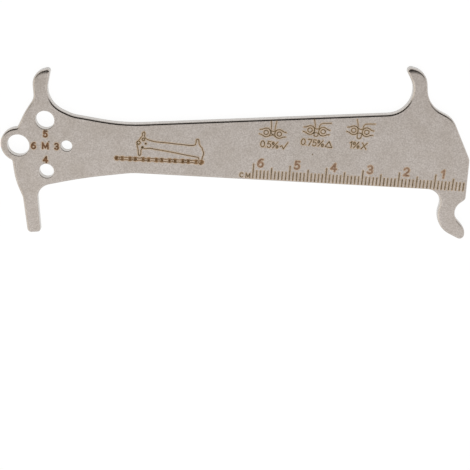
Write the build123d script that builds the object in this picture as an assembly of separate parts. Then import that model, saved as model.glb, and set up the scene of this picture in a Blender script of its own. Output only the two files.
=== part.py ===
from build123d import *
import os
from math import radians, tan

os.makedirs("parts", exist_ok=True)

# Chain wear gauge, blanked in one piece from stainless sheet and tumbled until its rims are round.
# Millimetres. The drawing's x axis is the straight ruler edge, and x = 0 is the middle of the
# head, where the 5 mm and 4 mm holes are. +Y points to the horns, and +Z out of the marked face.

# Sheet
thickness = 2.0
face_rim_radius = 0.6        # the marked face is the die-roll side, with the softer rim
hole_rim_radius = 0.2        # the stone hardly reaches into the holes, so their rims stay crisp
back_rim_chamfer = 0.2       # the burr side only has its edge broken
least_straight = 0.2         # straight edge left between two rounded corners of the outline

# Blade: the long body between the head and the far end, deeper towards the far end
blade_depth = 13.85          # ruler edge to the slimmest place of the upper edge, the throat
blade_rise = 8.0             # how much deeper the blade is at the right bay
ruler_start = 23.65          # left end of the straight ruler edge
ruler_length = 85.95         # to where the ruler edge would meet the back of the hook
ruler_start_radius = 20.0
throat_shift = 2.75          # the throat stands this far left of the ruler's start
throat_radius = 49.5

# Arch: the long shallow curve from the probe leg up to the ruler edge
arch_run = 13.5
arch_sag = 2.25
arch_radius = 119.5

# Head: the rounded end with the four screw-size holes. The 6 mm and 3 mm ones are placed from the
# head's middle, the 5 mm one from the left bay above it, the 4 mm one from the ruler edge.
head_middle_drop = 0.23      # the head's middle, below half the blade's depth
m6_place = (-7.35, -0.3)
m5_place = (0.1, -4.9)
m4_place = (0.2, -0.6)
m3_place = (5.75, 0.25)
m6_diameter = 6.0
m5_diameter = 5.0
m4_diameter = 4.0
m3_diameter = 3.0
screw_clearance = 0.05       # each hole over its screw size
boss_wall = 1.85             # metal left round the 6 mm hole
boss_corner_radius = 0.5
head_back = (-9.7, 0.0)      # inside the boss, where the two flanks of the head would meet
flank = (-8.5, -10.55)
flank_radius = 20.0

# Probe leg: tapered finger that drops between two rollers, placed from the ruler edge
leg_top = 8.85               # where the leg steps out of the flank
leg_length = 10.65
leg_top_x = -4.57            # middle of the leg where it starts
leg_top_width = 3.9
leg_toe_width = 3.65
leg_lean = 1.0               # how far the toe stands to the right of the top
leg_toe_rise = 0.45
leg_step_radius = 2.0
leg_toe_radius = 1.1
leg_toe_inner_radius = 0.9
leg_root_height = 3.25       # corner between the leg and the arch, above the step
leg_root_radius = 4.25

# Horns: the upper pair of fingers, each with a round bay on its inner side. A bay's corner is
# where the upper edge would meet the horn, and each horn is placed from it.
bay_radius = 6.5
left_bay_x = -0.1
left_bay_rise = 5.0          # the left bay's corner above the throat
left_bay_run = (7.45, -3.25)
left_bay_run_radius = 8.1
left_horn_nose = (1.9, 9.6)
left_horn_nose_radius = 0.8
left_horn_crown = (-3.3, 8.0)
left_horn_crown_radius = 4.4
waist = (-2.8, 0.95)
waist_radius = 3.55
neck = (-5.4, -3.15)
neck_radius = 18.2
right_bay_setback = 7.45     # the right bay's corner stands this far left of the hook's root
right_horn_nose = (-7.85, 12.6)
right_horn_nose_radius = 1.0
right_horn_crown = (-1.45, 11.05)
right_horn_crown_radius = 4.85
right_horn_root = (-0.05, 2.05)
right_horn_root_radius = 7.7

# Far end: a slope down from the right horn, placed from its bay, and the side wall beyond the
# ruler, placed from the hook's root
end_high = (7.15, -1.3)
end_high_radius = 6.0
end_low = (5.8, 9.2)
end_low_radius = 2.95

# Hook: it curls under the far end and holds one chain roller in its seat. It is placed from its
# root, the corner between its back and the ruler edge.
roller_diameter = 7.75       # roller of a 12.7 mm pitch bicycle chain
seat_squeeze = 0.3           # how much tighter than the roller the seat is, on the radius
seat_apex = (2.25, -6.05)
brow = (6.35, -2.45)
brow_radius = 1.2
hook_root_radius = 4.05
hook_back = (-1.5, -10.85)
hook_back_radius = 6.9
hook_toe = (7.65, -15.15)
hook_toe_radius = 1.25
hook_lip = (7.45, -11.25)
hook_lip_radius = 3.95

# Anchors that the places above are measured from
ruler_end = ruler_start + ruler_length
ruler_edge = (0, 0)
hook_root = (ruler_end, 0)
head_middle = (0, blade_depth / 2 - head_middle_drop)
left_bay = (left_bay_x, blade_depth + left_bay_rise)
right_bay = (ruler_end - right_bay_setback, blade_depth + blade_rise)


def placed(anchor, offset, size):
    """A place from an anchor: x, y and the size there, such as the radius that rounds a corner."""
    return anchor[0] + offset[0], anchor[1] + offset[1], size


def hook_corners():
    seat_radius = roller_diameter / 2 - seat_squeeze
    return [
        (*hook_root, hook_root_radius),
        placed(hook_root, hook_back, hook_back_radius),
        placed(hook_root, hook_toe, hook_toe_radius),
        placed(hook_root, hook_lip, hook_lip_radius),
        placed(hook_root, seat_apex, seat_radius),
        placed(hook_root, brow, brow_radius),
    ]


def far_end_corners():
    return [
        placed(hook_root, end_low, end_low_radius),
        placed(right_bay, end_high, end_high_radius),
    ]


def right_horn_corners():
    return [
        placed(right_bay, right_horn_root, right_horn_root_radius),
        placed(right_bay, right_horn_crown, right_horn_crown_radius),
        placed(right_bay, right_horn_nose, right_horn_nose_radius),
        (*right_bay, bay_radius),
    ]


def left_horn_corners():
    return [
        placed(left_bay, left_bay_run, left_bay_run_radius),
        (*left_bay, bay_radius),
        placed(left_bay, left_horn_nose, left_horn_nose_radius),
        placed(left_bay, left_horn_crown, left_horn_crown_radius),
        placed(left_bay, waist, waist_radius),
        placed(left_bay, neck, neck_radius),
    ]


def head_corners():
    return [
        placed(head_middle, head_back, 0),
        placed(head_middle, flank, flank_radius),
    ]


def leg_corners():
    top_left = leg_top_x - leg_top_width / 2
    top_right = leg_top_x + leg_top_width / 2
    toe_left = leg_top_x + leg_lean - leg_toe_width / 2
    toe_right = leg_top_x + leg_lean + leg_toe_width / 2
    toe = -leg_top - leg_length
    return [
        (top_left, -leg_top, leg_step_radius),
        (toe_left, toe, leg_toe_radius),
        (toe_right, toe + leg_toe_rise, leg_toe_inner_radius),
        (top_right, leg_root_height - leg_top, leg_root_radius),
    ]


def outline_corners():
    """All corners in order, anticlockwise from the left end of the ruler edge."""
    start = [(ruler_start, 0, ruler_start_radius)]
    throat = [(ruler_start - throat_shift, blade_depth, throat_radius)]
    arch = [(ruler_start - arch_run, -arch_sag, arch_radius)]
    return (
        start + hook_corners() + far_end_corners() + right_horn_corners()
        + throat + left_horn_corners() + head_corners() + leg_corners() + arch
    )


def corner_reach(before, corner, after):
    """How far along its two sides the rounding of a corner reaches."""
    way_in = Vector(*corner[:2]) - Vector(*before[:2])
    way_out = Vector(*after[:2]) - Vector(*corner[:2])
    return corner[2] * tan(radians(way_in.get_angle(way_out)) / 2)


def corner_radii(corners):
    """Each corner's radius, drawn in where the side to the next corner is too short for both."""
    count = len(corners)
    reaches = [
        corner_reach(corners[i - 1], corners[i], corners[(i + 1) % count]) for i in range(count)
    ]
    radii = [radius for x, y, radius in corners]
    for i in range(count):
        x, y, radius = corners[i]
        for j in (i - 1, (i + 1) % count):
            room = (Vector(*corners[j][:2]) - Vector(x, y)).length - least_straight
            if reaches[i] + reaches[j] > room:
                radii[i] = min(radii[i], radius * room / (reaches[i] + reaches[j]))
    return radii


def screw_holes():
    """Centre and bore of each screw-size hole, the 6 mm one first."""
    holes = [
        placed(head_middle, m6_place, m6_diameter),
        placed(left_bay, m5_place, m5_diameter),
        placed(ruler_edge, m4_place, m4_diameter),
        placed(head_middle, m3_place, m3_diameter),
    ]
    return [((x, y), size + screw_clearance) for x, y, size in holes]


def blank():
    """The flat outline as the die cuts it, with its four holes."""
    corners = outline_corners()
    points = [(x, y) for x, y, radius in corners]
    outline = make_face(FilletPolyline(*points, radius=corner_radii(corners), close=True))

    boss_centre, boss_bore = screw_holes()[0]
    boss_radius = boss_bore / 2 + boss_wall
    outline += Pos(*boss_centre) * Circle(boss_radius)
    inner_corners = [
        vertex for vertex in outline.vertices()
        if abs((vertex.center() - Vector(*boss_centre)).length - boss_radius) < 1e-4
    ]
    outline = fillet(inner_corners, boss_corner_radius)

    for centre, bore in screw_holes():
        outline -= Pos(*centre) * Circle(bore / 2)
    return outline


def gauge_plate():
    """The blank at its thickness, rims rounded on the marked face and broken on the back."""
    plate = extrude(blank(), thickness)
    hole_rims = plate.edges().group_by(Axis.Z)[-1].filter_by(lambda rim: rim.is_closed)
    plate = fillet(hole_rims, hole_rim_radius)
    outer_rim = plate.edges().group_by(Axis.Z)[-1].filter_by(lambda rim: not rim.is_closed)
    plate = fillet(outer_rim, face_rim_radius)
    return chamfer(plate.edges().group_by(Axis.Z)[0], back_rim_chamfer)


plate = gauge_plate()
box = plate.bounding_box()
middle = (box.min + box.max) / 2
plate = Pos(-middle.X, -middle.Y, 0) * plate
export_step(plate, "parts/gauge_plate.step")
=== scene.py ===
from math import cos, radians, sin, tan

import bmesh
import bpy
from mathutils import Matrix, Vector
from mathutils.bvhtree import BVHTree


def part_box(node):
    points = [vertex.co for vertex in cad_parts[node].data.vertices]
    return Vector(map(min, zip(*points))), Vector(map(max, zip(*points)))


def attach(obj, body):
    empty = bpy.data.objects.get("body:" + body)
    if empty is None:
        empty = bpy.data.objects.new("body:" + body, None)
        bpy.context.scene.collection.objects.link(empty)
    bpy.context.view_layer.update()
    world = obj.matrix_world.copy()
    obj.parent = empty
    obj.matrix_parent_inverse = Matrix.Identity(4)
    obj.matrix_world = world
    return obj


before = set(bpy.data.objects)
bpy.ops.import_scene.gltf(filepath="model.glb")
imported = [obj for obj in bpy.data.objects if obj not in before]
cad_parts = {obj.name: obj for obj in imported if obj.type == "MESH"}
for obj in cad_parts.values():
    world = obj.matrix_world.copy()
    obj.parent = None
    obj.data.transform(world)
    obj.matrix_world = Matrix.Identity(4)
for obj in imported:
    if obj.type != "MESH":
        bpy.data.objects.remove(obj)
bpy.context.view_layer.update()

# Chain wear gauge: tumbled stainless sheet with laser marks on its upper face, lying on a white
# table. Lengths are millimetres, and MM turns them into Blender's metres.
MM = 0.001
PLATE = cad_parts["gauge_plate"]
FACE_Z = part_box("gauge_plate")[1].z / MM

# Steel. Real tumbling grain is about 0.05 mm. It is drawn as coarse as it needs to show.
GRAIN_SIZE = 0.35
GRAIN_DEPTH = 0.02
CLOUD_SIZE = 4.0
PIT_SPACING = 0.5
SATIN_ROUGHNESS = (0.3, 0.42)
BURNISH = 0.16               # how much smoother the rounded rims are
SMOOTH_WALL_FROM = 0.75      # above this height a cut wall is sheared smooth
BROKEN_WALL_TO = 0.55        # below this one it is broken and matt
BROKEN_ROUGHNESS = 0.1       # how much rougher it is there
# how much darker the lower wall is: partly its duller break, partly painted shade where it meets the
# table
BREAK_AND_PAINTED_SHADE = 0.35
STRAW_SHARE = 0.55           # how much of the straw colour the heated steel takes
SPECKLE_SIZE = 0.12          # of the oxide in the marks

# How level a face is, from 0 for a wall to 1 for the flat: where a wall begins and is full, and
# where a rounded rim begins and is full
WALL_LEVELS = (0.75, 0.35)
RIM_LEVELS = (0.999, 0.97)

# Wear at the horns' tips: outside a circle inside each horn, the face falls away to the rim, more
# and more towards the tip. Each circle is a middle and a radius.
WORN_TIPS = (((-51.5, 15.7), 3.7), ((44.6, 21.0), 4.05))
TIP_WEAR_WIDTH = 2.0
TIP_WEAR = 0.7
HORN_REACH = 7.0             # the wear ends this far from those middles, and below them
WEAR_FADE = 0.5

# The laser marks are laid out in their own frame. Its x axis runs through the feet of the
# graduations, and x = 0 is the 6 cm one. It sits a little askew to the ruler edge.
MARKS_ORIGIN = (4.093, -6.736)
MARKS_TURN = -0.345
MARK_HEIGHT = 0.025          # a mark stands this far out of the steel, too little to see
TINT_HEIGHT = 0.005          # the straw tint round it lies lower, so that the mark covers it
MARK_SINK = 0.03             # both reach this far into the steel, so that no gap shows
LAYER_STEP = 0.00025         # each line lies this much over the one before, as they cross
STROKE_STEP = 0.2            # longest step along a stroke, so that it follows the rounded rim
SHARP_TURN = 50              # degrees. The beam lifts here and starts a new line
END_STEPS = 3                # the round end of a line narrows in this many steps
END_FLAT = 0.4               # and leaves this part of a further step as a flat tip
LEAST_MITRE = 0.5            # keeps a mitre under twice the half width
CLOSED_WITHIN = 1e-6

# Ruler
RULER_MILLIMETRES = 58
RULER_START_X = 0.15
GRADUATION_WIDTH = 0.32
GRADUATION_LENGTHS = {10: 4.3, 5: 3.4, 1: 2.45}
GRADUATION_FOOT = 0.12       # least height of a foot over the ruler edge, on the rounded rim
RULER_EDGE_Y = -7.2655       # the ruler edge in the model's frame
RULER_EDGE_END_X = 53.0      # right of this the edge turns down into the hook
NUMBER_OFFSET = (1.86, 4.58) # middle of a number from the foot of its graduation
NUMBER_HEIGHT = 2.15
NUMBER_STROKE = 0.5
UNIT_PLACE = (-1.85, 0.78)
UNIT_HEIGHT = 1.2
UNIT_STROKE = 0.3
UNIT_LETTERS = (("C", -1.6, 1.05), ("M", 0.1, 1.0))  # left side from the place, share of the height

# Screw-size numbers in the model's frame, each beside its hole, round the M
HOLE_LABELS = {
    "5": (-52.38, 2.79),
    "6": (-55.65, -0.74),
    "M": (-52.45, -0.61),
    "3": (-49.39, -0.59),
    "4": (-52.5, -4.57),
}
HOLE_LABEL_HEIGHT = 1.62
HOLE_LABEL_STROKE = 0.45

# Two dots that the beam left beside its work, in the model's frame
STRAY_SPECKS = ((-51.45, 0.69), (20.03, 1.13))
SPECK_RADIUS = 0.1
SPECK_STROKE = 0.22

# Wear readings in the marks' frame: the text, the sign after it, the foot of its left end, its turn
# in degrees, and how far along the line the sign stands
WEAR_READINGS = (
    ("0.5%", "tick", (1.6, 9.3), -2.2, 5.3),
    ("0.75%", "triangle", (12.5, 10.6), -2.4, 6.6),
    ("1%", "cross", (25.6, 10.65), -3.4, 3.25),
)
READING_HEIGHT = 1.7
READING_STROKE = 0.24
DECIMAL_POINT_STROKE = 0.16
READING_PITCH = 1.31
NARROW_PITCH = {"1": 0.94, ".": 0.46}

# Wear pictograms: two chain rollers between link plates, and the gauge's tooth between them
ROLLER_SPACING = 3.58
ROLLER_RADIUS = 0.6
PLATE_END_RADIUS = 1.2
PLATE_END_SWEEP = 42         # degrees drawn each side of the middle of a link plate's end
PICTOGRAM_STROKE = 0.22
TOOTH_STROKE = 0.18

# Run of chain under the small gauge, from its left end in the marks' frame: rollers in pairs, joined
# by links that take turns to be short and slim or long and wide
CHAIN_START = (-37.2, 3.5)
CHAIN_TURN = 0.85
CHAIN_PAIRS = 7
CHAIN_PAIR_PITCH = 3.6
CHAIN_SHORT_PITCH = 1.52     # between the two rollers of a pair
CHAIN_ROLLER_RADIUS = 0.27
CHAIN_ROLLER_STROKE = 0.3
LINK_HALF_HEIGHT = 0.52
LINK_SHOULDER = (0.3, 0.94)  # so far from a roller, a link still has this share of its height
LINK_NECK = 0.65             # so far from a roller, it is down to its waist
SHORT_WAIST = 0.22
LONG_WAIST = 0.32

# Studio. Headings are degrees from +X towards +Y, heights are sines, and lengths are metres.
CORNER_HEADING = 94          # middle of the unlit corner
CORNER_HALF_WIDTH = 72
CORNER_FADE = (-0.25, -0.05) # from its lit surroundings into the corner, across its edge
PALE_WALL_TOP = (0.28, 0.52)
WINDOW_EDGE = (0.2, 0.6)
ROOM_STRENGTH = 0.93
WINDOW_STRENGTH = 1.14
LAMP_PLACE = (0.0, -0.66, 0.93)
LAMP_SIZE = 1.1
LAMP_POWER = 1.1
TABLE_SIZE = 4.0
TABLE_GLOW = 0.95            # with the light that it takes, the table then shows white

# Camera, with angles in degrees and lengths in millimetres. It looks at a place on the marked face.
CAMERA_TARGET = (0.373, -24.016)
CAMERA_DISTANCE = 296.4
CAMERA_TILT = 24.09
CAMERA_HEADING = 2.70
CAMERA_ROLL = 0.60
CAMERA_LENS = 80.8
CAMERA_SENSOR = 36.0

# The Mix node's colour sockets by number, because their names are those of its other sockets too
SHARE, UNDER, OVER, MIXED = 0, 6, 7, 2
SMOOTH = {"interpolation_type": "SMOOTHSTEP"}


def linear(hex_colour):
    """An sRGB hex colour as the linear values that Blender's sockets take."""
    channels = [int(hex_colour[i:i + 2], 16) / 255 for i in (1, 3, 5)]
    return [c / 12.92 if c <= 0.04045 else ((c + 0.055) / 1.055) ** 2.4 for c in channels] + [1.0]


def add_node(tree, kind, inputs=None, **settings):
    """Adds a node, with its settings, and sets or links its inputs by name or number. A node given
    as an input stands for its first output."""
    made = tree.nodes.new("ShaderNode" + kind)
    for name, value in settings.items():
        setattr(made, name, value)
    for name, value in (inputs or {}).items():
        if isinstance(value, bpy.types.Node):
            value = value.outputs[0]
        if isinstance(value, bpy.types.NodeSocket):
            tree.links.new(value, made.inputs[name])
        else:
            made.inputs[name].default_value = value
    return made


def new_material(name):
    """An empty node material and its tree."""
    material = bpy.data.materials.new(name)
    material.use_nodes = True
    material.node_tree.nodes.clear()
    return material, material.node_tree


def layered(tree, hex_colour, layers):
    """A colour with others laid over it in turn, each by its share."""
    colour = linear(hex_colour)
    for share, over in layers:
        colour = add_node(tree, "Mix", {SHARE: share, UNDER: colour, OVER: linear(over)},
                          data_type="RGBA").outputs[MIXED]
    return colour


def stainless_steel(name, tint=None):
    """Steel of the plate: satin, clouded, grained and pitted, with its cut walls broken near the back
    face and its rims burnished.
    Its cut walls are painted lighter, a painted reflection of the bright table, and darker near the
    back face, partly their duller break and partly painted shade.
    A tint is laid over it where one is given."""
    material, tree = new_material(name)
    place = add_node(tree, "TexCoord").outputs["Object"]
    normal = add_node(tree, "NewGeometry").outputs["Normal"]
    height = add_node(tree, "SeparateXYZ", {0: place}).outputs["Z"]
    facing = add_node(tree, "SeparateXYZ", {0: normal}).outputs["Z"]
    level = add_node(tree, "Math", {0: facing}, operation="ABSOLUTE")

    fine = add_node(tree, "TexNoise", {
        "Vector": place, "Scale": 1 / (GRAIN_SIZE * MM), "Detail": 2.0, "Roughness": 0.6,
    })
    drift = add_node(tree, "TexNoise", {
        "Vector": place, "Scale": 1 / (CLOUD_SIZE * MM), "Detail": 3.0,
    })
    spots = add_node(tree, "TexNoise", {
        "Vector": place, "Scale": 1 / (PIT_SPACING * MM), "Detail": 1.0,
    })
    clouds = add_node(tree, "MapRange", {"Value": drift, "From Min": 0.3, "From Max": 0.7}, **SMOOTH)
    dark_grain = add_node(tree, "MapRange", {
        "Value": fine, "From Min": 0.25, "From Max": 0.75, "To Max": 0.7,
    }, **SMOOTH)
    pits = add_node(tree, "MapRange", {
        "Value": spots, "From Min": 0.76, "From Max": 0.82, "To Max": 0.5,
    }, **SMOOTH)

    # The sheared wall: smooth under the marked face's rim, broken and matt near the back face
    wall = add_node(tree, "MapRange", {
        "Value": level, "From Min": WALL_LEVELS[0], "From Max": WALL_LEVELS[1],
    }, **SMOOTH)
    below = add_node(tree, "MapRange", {
        "Value": height, "From Min": SMOOTH_WALL_FROM * MM, "From Max": BROKEN_WALL_TO * MM,
    }, **SMOOTH)
    broken = add_node(tree, "Math", {0: wall, 1: below}, operation="MULTIPLY")
    # Darker near the back face: partly the duller break, and partly painted shade where the wall
    # meets the table
    break_and_painted_shade = add_node(tree, "Math", {0: broken, 1: BREAK_AND_PAINTED_SHADE}, operation="MULTIPLY")

    # The cut walls are painted lighter than the flat, a painted reflection of the bright table beside
    # them
    layers = [
        (clouds, "#CFCAC6"), (wall, "#D2CEC9"), (dark_grain, "#AAA39D"), (pits, "#5E564E"),
        (break_and_painted_shade, "#A39B93"),
    ]
    if tint:
        layers.append((STRAW_SHARE, tint))
    colour = layered(tree, "#C6C0BA", layers)

    # The stone burnishes the rounded rims, which then shine more than the flats
    satin = add_node(tree, "MapRange", {
        "Value": fine, "From Min": 0.2, "From Max": 0.8,
        "To Min": SATIN_ROUGHNESS[0], "To Max": SATIN_ROUGHNESS[1],
    }, **SMOOTH)
    burnish = add_node(tree, "MapRange", {
        "Value": level, "From Min": RIM_LEVELS[0], "From Max": RIM_LEVELS[1], "To Max": -BURNISH,
    }, **SMOOTH)
    burnished = add_node(tree, "Math", {0: satin, 1: burnish}, operation="ADD")
    roughness = add_node(tree, "Math", {0: broken, 1: BROKEN_ROUGHNESS, 2: burnished},
                         operation="MULTIPLY_ADD")

    worn = add_node(tree, "Bump", {
        "Height": worn_tips(tree, place), "Strength": 1.0, "Distance": TIP_WEAR * MM,
    })
    bump = add_node(tree, "Bump", {
        "Height": fine, "Strength": 0.2, "Distance": GRAIN_DEPTH * MM, "Normal": worn,
    })
    steel = add_node(tree, "BsdfPrincipled", {
        "Base Color": colour, "Metallic": 1.0, "Roughness": roughness, "Normal": bump,
    })
    add_node(tree, "OutputMaterial", {"Surface": steel})
    return material


def worn_tips(tree, place):
    """How far the stone has worn the face down at the horns' tips: 0 on the flat, and falling ever
    steeper to -1 at a tip."""
    wear = 0.0
    up_horn = add_node(tree, "SeparateXYZ", {0: place}).outputs["Y"]
    for middle, flat_radius in WORN_TIPS:
        away = add_node(tree, "VectorMath", {0: place, 1: Vector((*middle, FACE_Z)) * MM},
                        operation="DISTANCE").outputs["Value"]
        past = add_node(tree, "MapRange", {
            "Value": away, "From Min": flat_radius * MM,
            "From Max": (flat_radius + TIP_WEAR_WIDTH) * MM,
        })
        steeper = add_node(tree, "Math", {0: past, 1: past}, operation="MULTIPLY")
        near = add_node(tree, "MapRange", {
            "Value": away, "From Min": HORN_REACH * MM, "From Max": (HORN_REACH - WEAR_FADE) * MM,
        }, **SMOOTH)
        above = add_node(tree, "MapRange", {
            "Value": up_horn, "From Min": middle[1] * MM, "From Max": (middle[1] + WEAR_FADE) * MM,
        }, **SMOOTH)
        on_horn = add_node(tree, "Math", {0: near, 1: above}, operation="MULTIPLY")
        wear = add_node(tree, "Math", {0: steeper, 1: on_horn, 2: wear}, operation="MULTIPLY_ADD")
    return add_node(tree, "Math", {0: wear, 1: -1.0}, operation="MULTIPLY")


def tumbled_stainless_steel():
    """Stainless sheet, blanked, then tumbled with fine stone: an even satin grey with a slight
    warmth, no direction in its grain, faint clouds, a few pits, and a duller break on the lower
    part of its cut walls, darkened further there with painted shade where they meet the table.
    The cut walls are painted lighter than the flat, a painted reflection of the bright table."""
    return stainless_steel("tumbled_stainless_steel")


def straw_tint():
    """The same steel where the marking laser warmed it: a thin clear oxide that looks straw."""
    return stainless_steel("heat_tinted_stainless_steel", tint="#C9AE8C")


def laser_mark(name, dark, light, patch=0.8):
    """Stainless annealed by a marking laser: a brown oxide skin on the metal, duller than the
    steel round it, darker where the beam overlapped and golden where it passed once. A patch of
    either is about as many millimetres across as patch says."""
    material, tree = new_material(name)
    place = add_node(tree, "TexCoord").outputs["Object"]
    passes = add_node(tree, "TexNoise", {
        "Vector": place, "Scale": 1 / (patch * MM), "Detail": 2.0,
    })
    specks = add_node(tree, "TexNoise", {
        "Vector": place, "Scale": 1 / (SPECKLE_SIZE * MM), "Detail": 1.0,
    })
    once = add_node(tree, "MapRange", {"Value": passes, "From Min": 0.35, "From Max": 0.65}, **SMOOTH)
    dotted = add_node(tree, "MapRange", {
        "Value": specks, "From Min": 0.35, "From Max": 0.7, "To Max": 0.35,
    }, **SMOOTH)
    roughness = add_node(tree, "MapRange", {
        "Value": specks, "From Min": 0.2, "From Max": 0.8, "To Min": 0.45, "To Max": 0.6,
    }, **SMOOTH)
    skin = add_node(tree, "BsdfPrincipled", {
        "Base Color": layered(tree, dark, [(once, light), (dotted, dark)]),
        "Metallic": 0.6, "Roughness": roughness,
    })
    add_node(tree, "OutputMaterial", {"Surface": skin})
    return material


def turned(place, degrees):
    """A local frame at a place, turned by some degrees."""
    return Matrix.Translation((*place, 0)) @ Matrix.Rotation(radians(degrees), 4, "Z")


class Marks:
    """Collects the lines of one group of laser marks and turns them into meshes."""

    surface = BVHTree.FromObject(PLATE, bpy.context.evaluated_depsgraph_get())

    def __init__(self, width, origin=MARKS_ORIGIN, turn=MARKS_TURN):
        self.lines = []
        self.width = width
        self.place = turned(origin, turn)

    def stroke(self, points, width=None):
        """Adds a line through points of the marks' frame, with a fresh start at each sharp turn.
        Equal first and last points close a line that has none."""
        path = [(self.place @ Vector((*point, 0))).xy for point in points]
        start = 0
        for i in range(1, len(path) - 1):
            if (path[i] - path[i - 1]).angle(path[i + 1] - path[i]) > radians(SHARP_TURN):
                self.lines.append((path[start:i + 1], width or self.width))
                start = i
        self.lines.append((path[start:], width or self.width))

    def glyph(self, strokes, foot, height, width=None):
        """Adds a character: strokes in heights, from the foot of its left side."""
        for points in strokes:
            self.stroke([(foot[0] + x * height, foot[1] + y * height) for x, y in points], width)

    def piece(self, name, material, margin=0.0, height=MARK_HEIGHT):
        """The lines as ribbons in one mesh that rides on the plate, wider by margin each side."""
        mesh = bmesh.new()
        for layer, (points, width) in enumerate(self.lines):
            half = width / 2 + margin
            closed = (points[0] - points[-1]).length < CLOSED_WITHIN
            path = stepped(points)
            if closed:
                sides = offsets(path[:-1], half, True)
            else:
                sides = round_ended(path, offsets(path, half, False), half)
            self.add_ribbon(mesh, sides, closed, height + layer * LAYER_STEP)
        bmesh.ops.recalc_face_normals(mesh, faces=mesh.faces)
        data = bpy.data.meshes.new(name)
        mesh.to_mesh(data)
        mesh.free()
        made = bpy.data.objects.new(name, data)
        bpy.context.scene.collection.objects.link(made)
        data.materials.append(material)
        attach(made, "root")

    def add_ribbon(self, mesh, sides, closed, height):
        """Makes a ribbon's top, bottom and walls from its pairs of left and right points."""
        rings = []
        for left, right in sides:
            spots = [self.on_plate(left), self.on_plate(right)]
            high = Vector((0, 0, height))
            low = Vector((0, 0, -MARK_SINK))
            corners = [spots[0] + high, spots[1] + high, spots[1] + low, spots[0] + low]
            rings.append([mesh.verts.new(corner * MM) for corner in corners])
        count = len(rings)
        for i in range(count if closed else count - 1):
            ring, following = rings[i], rings[(i + 1) % count]
            for j in range(4):
                k = (j + 1) % 4
                mesh.faces.new((ring[j], ring[k], following[k], following[j]))
        if not closed:
            mesh.faces.new(reversed(rings[0]))
            mesh.faces.new(rings[-1])

    def on_plate(self, point):
        """A point of the model's frame at the plate's own surface, also over its rounded rim."""
        above = Vector((point.x, point.y, 2 * FACE_Z)) * MM
        hit = self.surface.ray_cast(above, Vector((0, 0, -1)))[0]
        return Vector((point.x, point.y, hit.z / MM if hit else FACE_Z))


def round_ended(path, sides, half):
    """A ribbon's sides with both ends narrowed in a few steps, as a round end is."""
    first, last = [], []
    for step in range(1, END_STEPS + 1):
        angle = radians(90 * step / (END_STEPS + END_FLAT))
        for ends, tip, after in ((first, path[0], path[1]), (last, path[-1], path[-2])):
            out = (tip - after).normalized()
            across = Vector((-out.y, out.x)) * half * cos(angle)
            middle = tip + out * half * sin(angle)
            ends.append((middle + across, middle - across))
    return [(right, left) for left, right in reversed(first)] + sides + last


def stepped(points):
    """The same line with no step longer than STROKE_STEP."""
    path = [Vector(points[0])]
    for point in points[1:]:
        start, end = path[-1].copy(), Vector(point)
        count = max(1, round((end - start).length / STROKE_STEP))
        path += [start.lerp(end, i / count) for i in range(1, count + 1)]
    return path


def offsets(path, half, closed):
    """Pairs of points half a width left and right of a line, mitred where it turns."""
    pairs = []
    count = len(path)
    for i, point in enumerate(path):
        before = path[i - 1] if closed or i > 0 else None
        after = path[(i + 1) % count] if closed or i < count - 1 else None
        way_in = (point - before).normalized() if before is not None else None
        way_out = (after - point).normalized() if after is not None else None
        way_in = way_in or way_out
        way_out = way_out or way_in
        along = (way_in + way_out).normalized()
        side = Vector((-along.y, along.x))
        reach = half / max(LEAST_MITRE, side.dot(Vector((-way_in.y, way_in.x))))
        pairs.append((point + side * reach, point - side * reach))
    return pairs


def arc(middle, radii, start, end, steps=14):
    """Points on an ellipse, from one angle to another in degrees."""
    angles = [radians(start + (end - start) * i / steps) for i in range(steps + 1)]
    return [(middle[0] + radii[0] * cos(a), middle[1] + radii[1] * sin(a)) for a in angles]


def curved(points, steps):
    """A smooth line through points, by Catmull-Rom, in some steps from each to the next."""
    ends = [points[0], *points, points[-1]]
    line = [points[0]]
    for i in range(1, len(ends) - 2):
        a, b, c, d = (Vector(p) for p in ends[i - 1:i + 3])
        bend = 2 * a - 5 * b + 4 * c - d
        twist = 3 * b - a - 3 * c + d
        for step in range(1, steps + 1):
            t = step / steps
            line.append(tuple((2 * b + (c - a) * t + bend * t**2 + twist * t**3) / 2))
    return line


# Plain engraved characters, one height tall
GLYPHS = {
    "0": [arc((0.31, 0.5), (0.3, 0.5), 90, 450, 24)],
    "1": [[(0.04, 0.76), (0.3, 1.0), (0.3, 0.0)]],
    "2": [arc((0.3, 0.7), (0.29, 0.3), 165, -35) + [(0.02, 0.0), (0.62, 0.0)]],
    "3": [arc((0.29, 0.75), (0.26, 0.25), 150, -90) + arc((0.29, 0.26), (0.3, 0.26), 88, -150)],
    "4": [[(0.47, 0.0), (0.47, 1.0), (0.0, 0.3), (0.66, 0.3)]],
    "5": [[(0.56, 1.0), (0.13, 1.0), (0.08, 0.54)] + arc((0.28, 0.32), (0.3, 0.32), 125, -145)],
    "6": [
        arc((0.31, 0.31), (0.3, 0.31), 90, 450, 20),
        arc((0.46, 0.34), (0.45, 0.66), 180, 78),
    ],
    "7": [[(0.02, 1.0), (0.6, 1.0), (0.22, 0.0)]],
    "%": [
        [(0.16, 0.0), (0.84, 1.0)],
        arc((0.17, 0.76), (0.16, 0.22), 90, 450),
        arc((0.83, 0.24), (0.16, 0.22), 90, 450),
    ],
    ".": [[(0.0, 0.02), (0.04, 0.02)]],
    "C": [arc((0.4, 0.5), (0.38, 0.5), 48, 312, 20)],
    "M": [[(0.0, 0.0), (0.02, 1.0), (0.45, 0.15), (0.88, 1.0), (0.9, 0.0)]],
    "tick": [[(0.0, 0.34), (0.28, 0.5), (0.56, 0.0), (1.16, 1.12)]],
    "triangle": [[(0.5, 0.0), (0.0, 0.08), (0.52, 0.98), (1.06, 0.0), (0.5, 0.0)]],
    "cross": [[(0.08, 0.98), (0.78, 0.0)], [(0.84, 1.02), (0.0, 0.0)]],
}
DIGIT_WIDTH = 0.62
GLYPH_WIDTH = {"1": 0.35, "M": 0.9}


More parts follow.
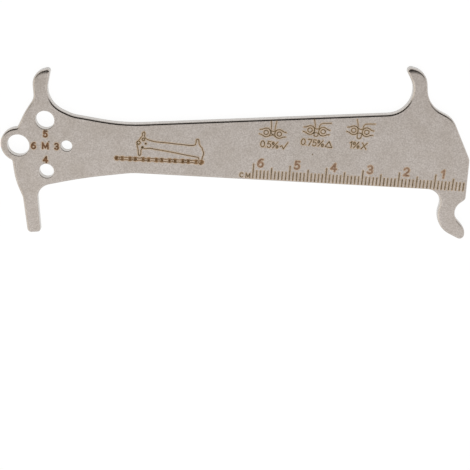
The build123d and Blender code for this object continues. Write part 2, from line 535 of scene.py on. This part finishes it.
def graduations():
    """One millimetre lines from 6 cm down to 0.2 cm, the ruler counting from its far end."""
    marks = Marks(GRADUATION_WIDTH)
    for millimetre in range(RULER_MILLIMETRES + 1):
        length = next(GRADUATION_LENGTHS[k] for k in GRADUATION_LENGTHS if millimetre % k == 0)
        x = RULER_START_X + millimetre
        foot = GRADUATION_WIDTH / 2
        spot = marks.place @ Vector((x, 0, 0))
        if spot.x < RULER_EDGE_END_X:
            foot += max(0.0, RULER_EDGE_Y + GRADUATION_FOOT - spot.y)
        marks.stroke([(x, foot), (x, length - GRADUATION_WIDTH / 2)])
    return marks


def ruler_numbers():
    marks = Marks(NUMBER_STROKE)
    for tens, digit in enumerate("654321"):
        wide = GLYPH_WIDTH.get(digit, DIGIT_WIDTH)
        x = RULER_START_X + 10 * tens + NUMBER_OFFSET[0] - wide * NUMBER_HEIGHT / 2
        y = NUMBER_OFFSET[1] - NUMBER_HEIGHT / 2
        marks.glyph(GLYPHS[digit], (x, y), NUMBER_HEIGHT)
    return marks


def ruler_unit():
    marks = Marks(UNIT_STROKE)
    x, y = UNIT_PLACE
    for letter, left, share in UNIT_LETTERS:
        marks.glyph(GLYPHS[letter], (x + left, y - UNIT_HEIGHT / 2), UNIT_HEIGHT * share)
    return marks


def stray_specks():
    """Dots of one short ring each."""
    marks = Marks(SPECK_STROKE, origin=(0, 0), turn=0)
    for middle in STRAY_SPECKS:
        marks.stroke(arc(middle, (SPECK_RADIUS, SPECK_RADIUS), 0, 360, 8))
    return marks


def hole_numbers():
    marks = Marks(HOLE_LABEL_STROKE, origin=(0, 0), turn=0)
    for character, (x, y) in HOLE_LABELS.items():
        wide = GLYPH_WIDTH.get(character, DIGIT_WIDTH)
        foot = (x - wide * HOLE_LABEL_HEIGHT / 2, y - HOLE_LABEL_HEIGHT / 2)
        marks.glyph(GLYPHS[character], foot, HOLE_LABEL_HEIGHT)
    return marks


def wear_readings():
    """Each wear limit, with the sign that says what to do with the chain at its right."""
    marks = Marks(READING_STROKE)
    frame_of_marks = marks.place
    for text, sign, foot, turn, sign_x in WEAR_READINGS:
        marks.place = frame_of_marks @ turned(foot, turn)
        x = 0
        for character in text:
            width = DECIMAL_POINT_STROKE if character == "." else READING_STROKE
            marks.glyph(GLYPHS[character], (x, 0), READING_HEIGHT, width)
            x += NARROW_PITCH.get(character, READING_PITCH)
        marks.glyph(GLYPHS[sign], (sign_x, 0), READING_HEIGHT)
    return marks


def link_outline(side):
    """The upper or lower wavy edge of two link plates: high over each roller and narrow between
    them. side is 1 for the upper one and -1 for the lower one."""
    half = [(0, 0.52), (0.65, 0.74), (1.15, 1.07), (1.77, 1.22), (2.4, 1.03), (2.9, 0.75),
            (3.55, 0.62)]
    both = [(-x, y) for x, y in reversed(half[1:])] + half
    return curved([(x, side * y) for x, y in both], 3)


def wear_pictogram(marks, tooth):
    """Two rollers in their link plates and the gauge's tooth at its depth between them."""
    for side in (-1, 1):
        roller = (side * ROLLER_SPACING / 2, 0)
        marks.stroke(arc(roller, (ROLLER_RADIUS, ROLLER_RADIUS), 0, 360, 20))
        facing = 90 + side * 90
        marks.stroke(arc(roller, (PLATE_END_RADIUS, PLATE_END_RADIUS),
                         facing - PLATE_END_SWEEP, facing + PLATE_END_SWEEP, 8))
        marks.stroke(link_outline(side))
    for line in tooth:
        marks.stroke(line, TOOTH_STROKE)


def tooth_above():
    """The tooth stands on the rollers: the chain is still good."""
    return [
        [(-0.9, 3.42), (-0.66, 2.15), (-0.5, 1.0)],
        curved([(0.58, 3.4), (0.47, 1.6), (0.52, 0.75)], 4),
        curved([(-0.4, 0.5), (-0.32, -0.15), (0.1, -0.3), (0.5, -0.1), (0.52, 0.5)], 4),
    ]


def tooth_between(top, depth, lean=0.0):
    """The tooth drops between the rollers, to a depth that shows how far the chain is worn."""
    left = [(-1.2 - lean, top), (-0.58 - lean, 1.3), (-0.52, -depth + 0.45), (-0.3, -depth + 0.08)]
    bottom = [(0.0, -depth), (0.35, -depth + 0.12), (0.56, -depth + 0.5)]
    right = [(0.58, 0.5), (0.58, 1.25), (0.76, 1.85), (1.2, 2.2), (2.2, 2.42), (3.55, 2.62)]
    return [curved(left + bottom + right, 4)]


def wear_pictograms():
    """The three pictograms, one mesh, each tilted a little as on the real plate."""
    drawn = [
        ((4.65, 13.32), -3.9, tooth_above()),
        ((16.37, 14.74), -4.2, tooth_between(3.3, 1.6)),
        ((28.1, 15.38), -5.6, tooth_between(3.1, 2.1, lean=0.28)),
    ]
    marks = Marks(PICTOGRAM_STROKE)
    frame_of_marks = marks.place
    for middle, turn, tooth in drawn:
        marks.place = frame_of_marks @ turned(middle, turn)
        wear_pictogram(marks, tooth)
    return marks


def tool_pictogram():
    """The gauge itself, small, with its leg and hook on a run of chain."""
    marks = Marks(PICTOGRAM_STROKE)
    horn_and_back = curved([
        (-31.6, 8.73), (-31.2, 9.07), (-30.87, 9.68), (-30.44, 10.25), (-30.36, 11.09),
        (-30.01, 11.45), (-29.73, 11.09), (-29.79, 10.23), (-29.55, 9.78), (-29.02, 9.39),
        (-27.91, 9.08), (-26.39, 8.83), (-23.96, 8.76), (-21.02, 8.59), (-17.47, 8.41),
    ], 4)
    far_horn = curved([
        (-17.47, 8.41), (-16.51, 8.47), (-15.97, 8.79), (-15.84, 9.42), (-15.8, 10.02),
        (-15.45, 10.32), (-15.1, 9.98), (-14.98, 9.0), (-14.48, 8.23), (-14.15, 7.9),
        (-13.93, 7.19), (-13.67, 6.59), (-13.72, 5.88), (-13.93, 5.12), (-14.01, 4.51),
    ], 4)
    belly = curved([
        (-29.83, 6.75), (-28.01, 6.87), (-26.79, 6.71), (-24.87, 6.5), (-21.22, 6.01),
        (-17.88, 5.5), (-15.45, 5.19), (-14.96, 5.01), (-14.86, 4.56),
    ], 4)
    leg = curved([
        (-31.81, 7.8), (-31.66, 7.14), (-31.45, 6.38), (-31.37, 5.37), (-31.31, 4.88),
        (-31.07, 4.66), (-30.8, 4.76), (-30.68, 5.27), (-30.68, 6.08), (-30.54, 6.59),
    ], 4)
    hook = arc((-14.3, 3.5), (0.42, 0.36), 170, 370, 10)
    for line in (horn_and_back, far_horn, belly, leg, hook):
        marks.stroke(line)
    holes = [
        ((-31.37, 8.3), 0.45, 0.3),
        ((-30.07, 9.33), 0.36, 0.28),
        ((-30.29, 7.04), 0.22, 0.26),
        ((-29.43, 8.18), 0.2, 0.16),
    ]
    for middle, radius, width in holes:
        marks.stroke(arc(middle, (radius, radius), 0, 360, 16), width)
    return marks


def chain_link(pitch, side):
    """The upper or lower edge of the link from one roller to the next: full over the rollers and
    waisted between them. side is 1 for the upper one and -1 for the lower one."""
    along, share = LINK_SHOULDER
    waist = SHORT_WAIST if pitch < CHAIN_PAIR_PITCH / 2 else LONG_WAIST
    half = [(0.0, LINK_HALF_HEIGHT), (along, LINK_HALF_HEIGHT * share), (LINK_NECK, waist)]
    edge = half + [(pitch - x, height) for x, height in reversed(half)]
    return curved([(x, side * height) for x, height in edge], 2)


def chain_pictogram():
    """The run of chain, seen from the side, with the half-round ends of its outer links."""
    marks = Marks(PICTOGRAM_STROKE)
    marks.place = marks.place @ turned(CHAIN_START, CHAIN_TURN)
    rollers = [
        pair * CHAIN_PAIR_PITCH + along
        for pair in range(CHAIN_PAIRS) for along in (0, CHAIN_SHORT_PITCH)
    ]
    for roller, following in zip(rollers, rollers[1:]):
        for side in (-1, 1):
            marks.stroke([(roller + x, y) for x, y in chain_link(following - roller, side)])
    for roller in rollers:
        rim = arc((roller, 0), (CHAIN_ROLLER_RADIUS, CHAIN_ROLLER_RADIUS), 0, 360, 12)
        marks.stroke(rim, CHAIN_ROLLER_STROKE)
    for end, facing in ((rollers[0], 180), (rollers[-1], 0)):
        radii = (LINK_HALF_HEIGHT, LINK_HALF_HEIGHT)
        marks.stroke(arc((end, 0), radii, facing - 90, facing + 90, 8))
    return marks


def white_table():
    """White card that shows pure white, and still takes a trace of the plate's contact shadow."""
    bpy.ops.mesh.primitive_plane_add(size=TABLE_SIZE, location=(0, 0, 0))
    table = bpy.context.object
    table.name = "table"
    material, tree = new_material("white_card")
    paths = add_node(tree, "LightPath").outputs
    seen = add_node(tree, "Math", {0: paths["Is Camera Ray"], 1: paths["Is Glossy Ray"]},
                    operation="MAXIMUM")
    seen = add_node(tree, "Math", {0: seen, 1: paths["Is Transmission Ray"]}, operation="MAXIMUM")
    card = add_node(tree, "BsdfDiffuse", {"Color": linear("#F4F4F4")})
    shaded = add_node(tree, "BsdfDiffuse", {"Color": linear("#606060")})
    glow = add_node(tree, "Emission", {"Color": linear("#FFFFFF"), "Strength": TABLE_GLOW})
    shown = add_node(tree, "AddShader", {0: shaded, 1: glow})
    surface = add_node(tree, "MixShader", {0: seen, 1: card, 2: shown})
    add_node(tree, "OutputMaterial", {"Surface": surface})
    table.data.materials.append(material)


def studio_world():
    """A bright studio, with an unlit corner behind the camera on the horns' side, above the pale
    wall there. Every rim that leans that way mirrors the unlit corner, which draws the dark line
    along it. Windows on both sides, the one on the head's side warmer, light the rims that face
    them."""
    heading = radians(CORNER_HEADING)
    into_corner = Vector((cos(heading), sin(heading), 0.0))
    across_corner = Vector((sin(heading), -cos(heading), 0.0))
    world = bpy.data.worlds.new("studio")
    bpy.context.scene.world = world
    world.use_nodes = True
    tree = world.node_tree
    tree.nodes.clear()
    way = add_node(tree, "TexCoord").outputs["Generated"]
    axes = add_node(tree, "SeparateXYZ", {0: way}).outputs

    # Inside the corner, a direction's part into it is more than its part across it allows
    towards = add_node(tree, "VectorMath", {0: way, 1: into_corner}, operation="DOT_PRODUCT")
    aside = add_node(tree, "VectorMath", {0: way, 1: across_corner}, operation="DOT_PRODUCT")
    aside = add_node(tree, "Math", {0: aside.outputs["Value"]}, operation="ABSOLUTE")
    inside = add_node(tree, "Math", {
        0: aside, 1: -1 / tan(radians(CORNER_HALF_WIDTH)), 2: towards.outputs["Value"],
    }, operation="MULTIPLY_ADD")
    in_corner = add_node(tree, "MapRange", {
        "Value": inside, "From Min": CORNER_FADE[0], "From Max": CORNER_FADE[1],
    }, **SMOOTH)
    above_wall = add_node(tree, "MapRange", {
        "Value": axes["Z"], "From Min": PALE_WALL_TOP[0], "From Max": PALE_WALL_TOP[1],
    }, **SMOOTH)
    unlit = add_node(tree, "Math", {0: in_corner, 1: above_wall}, operation="MINIMUM")

    beside = add_node(tree, "Math", {0: axes["X"]}, operation="ABSOLUTE")
    warm_window = add_node(tree, "MapRange", {
        "Value": axes["X"], "From Min": -WINDOW_EDGE[0], "From Max": -WINDOW_EDGE[1],
    }, **SMOOTH)
    strength = add_node(tree, "MapRange", {
        "Value": beside, "From Min": WINDOW_EDGE[0], "From Max": WINDOW_EDGE[1],
        "To Min": ROOM_STRENGTH, "To Max": WINDOW_STRENGTH,
    }, **SMOOTH)
    tone = layered(tree, "#E8E3DF", [(warm_window, "#FFF9F0"), (unlit, "#1E1B19")])

    seen = add_node(tree, "LightPath").outputs["Is Camera Ray"]
    studio = add_node(tree, "Background", {"Color": tone, "Strength": strength})
    white = add_node(tree, "Background", {"Color": linear("#FFFFFF"), "Strength": 1.0})
    surface = add_node(tree, "MixShader", {0: seen, 1: studio, 2: white})
    add_node(tree, "OutputWorld", {"Surface": surface})


def soft_box():
    """One large soft lamp, high on the ruler's side, which the flat of the plate mirrors."""
    light = bpy.data.lights.new("soft_box", "AREA")
    light.shape = "SQUARE"
    light.size = LAMP_SIZE
    light.energy = LAMP_POWER
    lamp = bpy.data.objects.new("soft_box", light)
    bpy.context.scene.collection.objects.link(lamp)
    lamp.location = LAMP_PLACE
    lamp.rotation_euler = (-lamp.location).to_track_quat("-Z", "Y").to_euler()


def camera():
    """The photograph's own view: from the horns' side, looking steeply down."""
    view = bpy.data.objects.new("camera", bpy.data.cameras.new("camera"))
    bpy.context.scene.collection.objects.link(view)
    bpy.context.scene.camera = view
    heading = Matrix.Rotation(radians(CAMERA_HEADING), 4, "Z")
    tilt = Matrix.Rotation(radians(-CAMERA_TILT), 4, "X")
    roll = Matrix.Rotation(radians(CAMERA_ROLL), 4, "Z")
    turn = heading @ tilt @ roll
    away = turn @ Vector((0, 0, CAMERA_DISTANCE))
    target = Vector((*CAMERA_TARGET, FACE_Z))
    view.matrix_world = Matrix.Translation((target + away) * MM) @ turn
    view.data.lens = CAMERA_LENS
    view.data.sensor_width = CAMERA_SENSOR
    view.data.clip_start = 0.01


steel = tumbled_stainless_steel()
for slot in PLATE.material_slots:
    slot.link = "OBJECT"
    slot.material = steel

brown = laser_mark("laser_annealed_brown", "#736652", "#A2927C")
umber = laser_mark("laser_annealed_umber", "#6A5038", "#987253")
russet = laser_mark("laser_annealed_russet", "#967862", "#BFA18A")
amber = laser_mark("laser_annealed_amber", "#74593A", "#A2805A")
golden = laser_mark("laser_annealed_golden", "#5D4F36", "#8F7954", patch=1.2)
straw = straw_tint()

# Each group of marks: its name, its lines, its oxide, and how far the straw tint shows past a line
groups = [
    ("ruler_graduations", graduations(), brown, 0.2),
    ("ruler_numbers", ruler_numbers(), russet, 0.2),
    ("ruler_unit", ruler_unit(), brown, 0.2),
    ("hole_numbers", hole_numbers(), umber, 0.22),
    ("stray_specks", stray_specks(), brown, 0),
    ("wear_readings", wear_readings(), golden, 0.22),
    ("wear_pictograms", wear_pictograms(), golden, 0.22),
    ("tool_pictogram", tool_pictogram(), golden, 0.22),
    ("chain_pictogram", chain_pictogram(), amber, 0.25),
]
for name, marks, material, margin in groups:
    marks.piece(name, material)
    if margin:
        marks.piece(name + "_tint", straw, margin, TINT_HEIGHT)

white_table()
studio_world()
soft_box()
camera()
bpy.context.scene.view_settings.view_transform = "Standard"
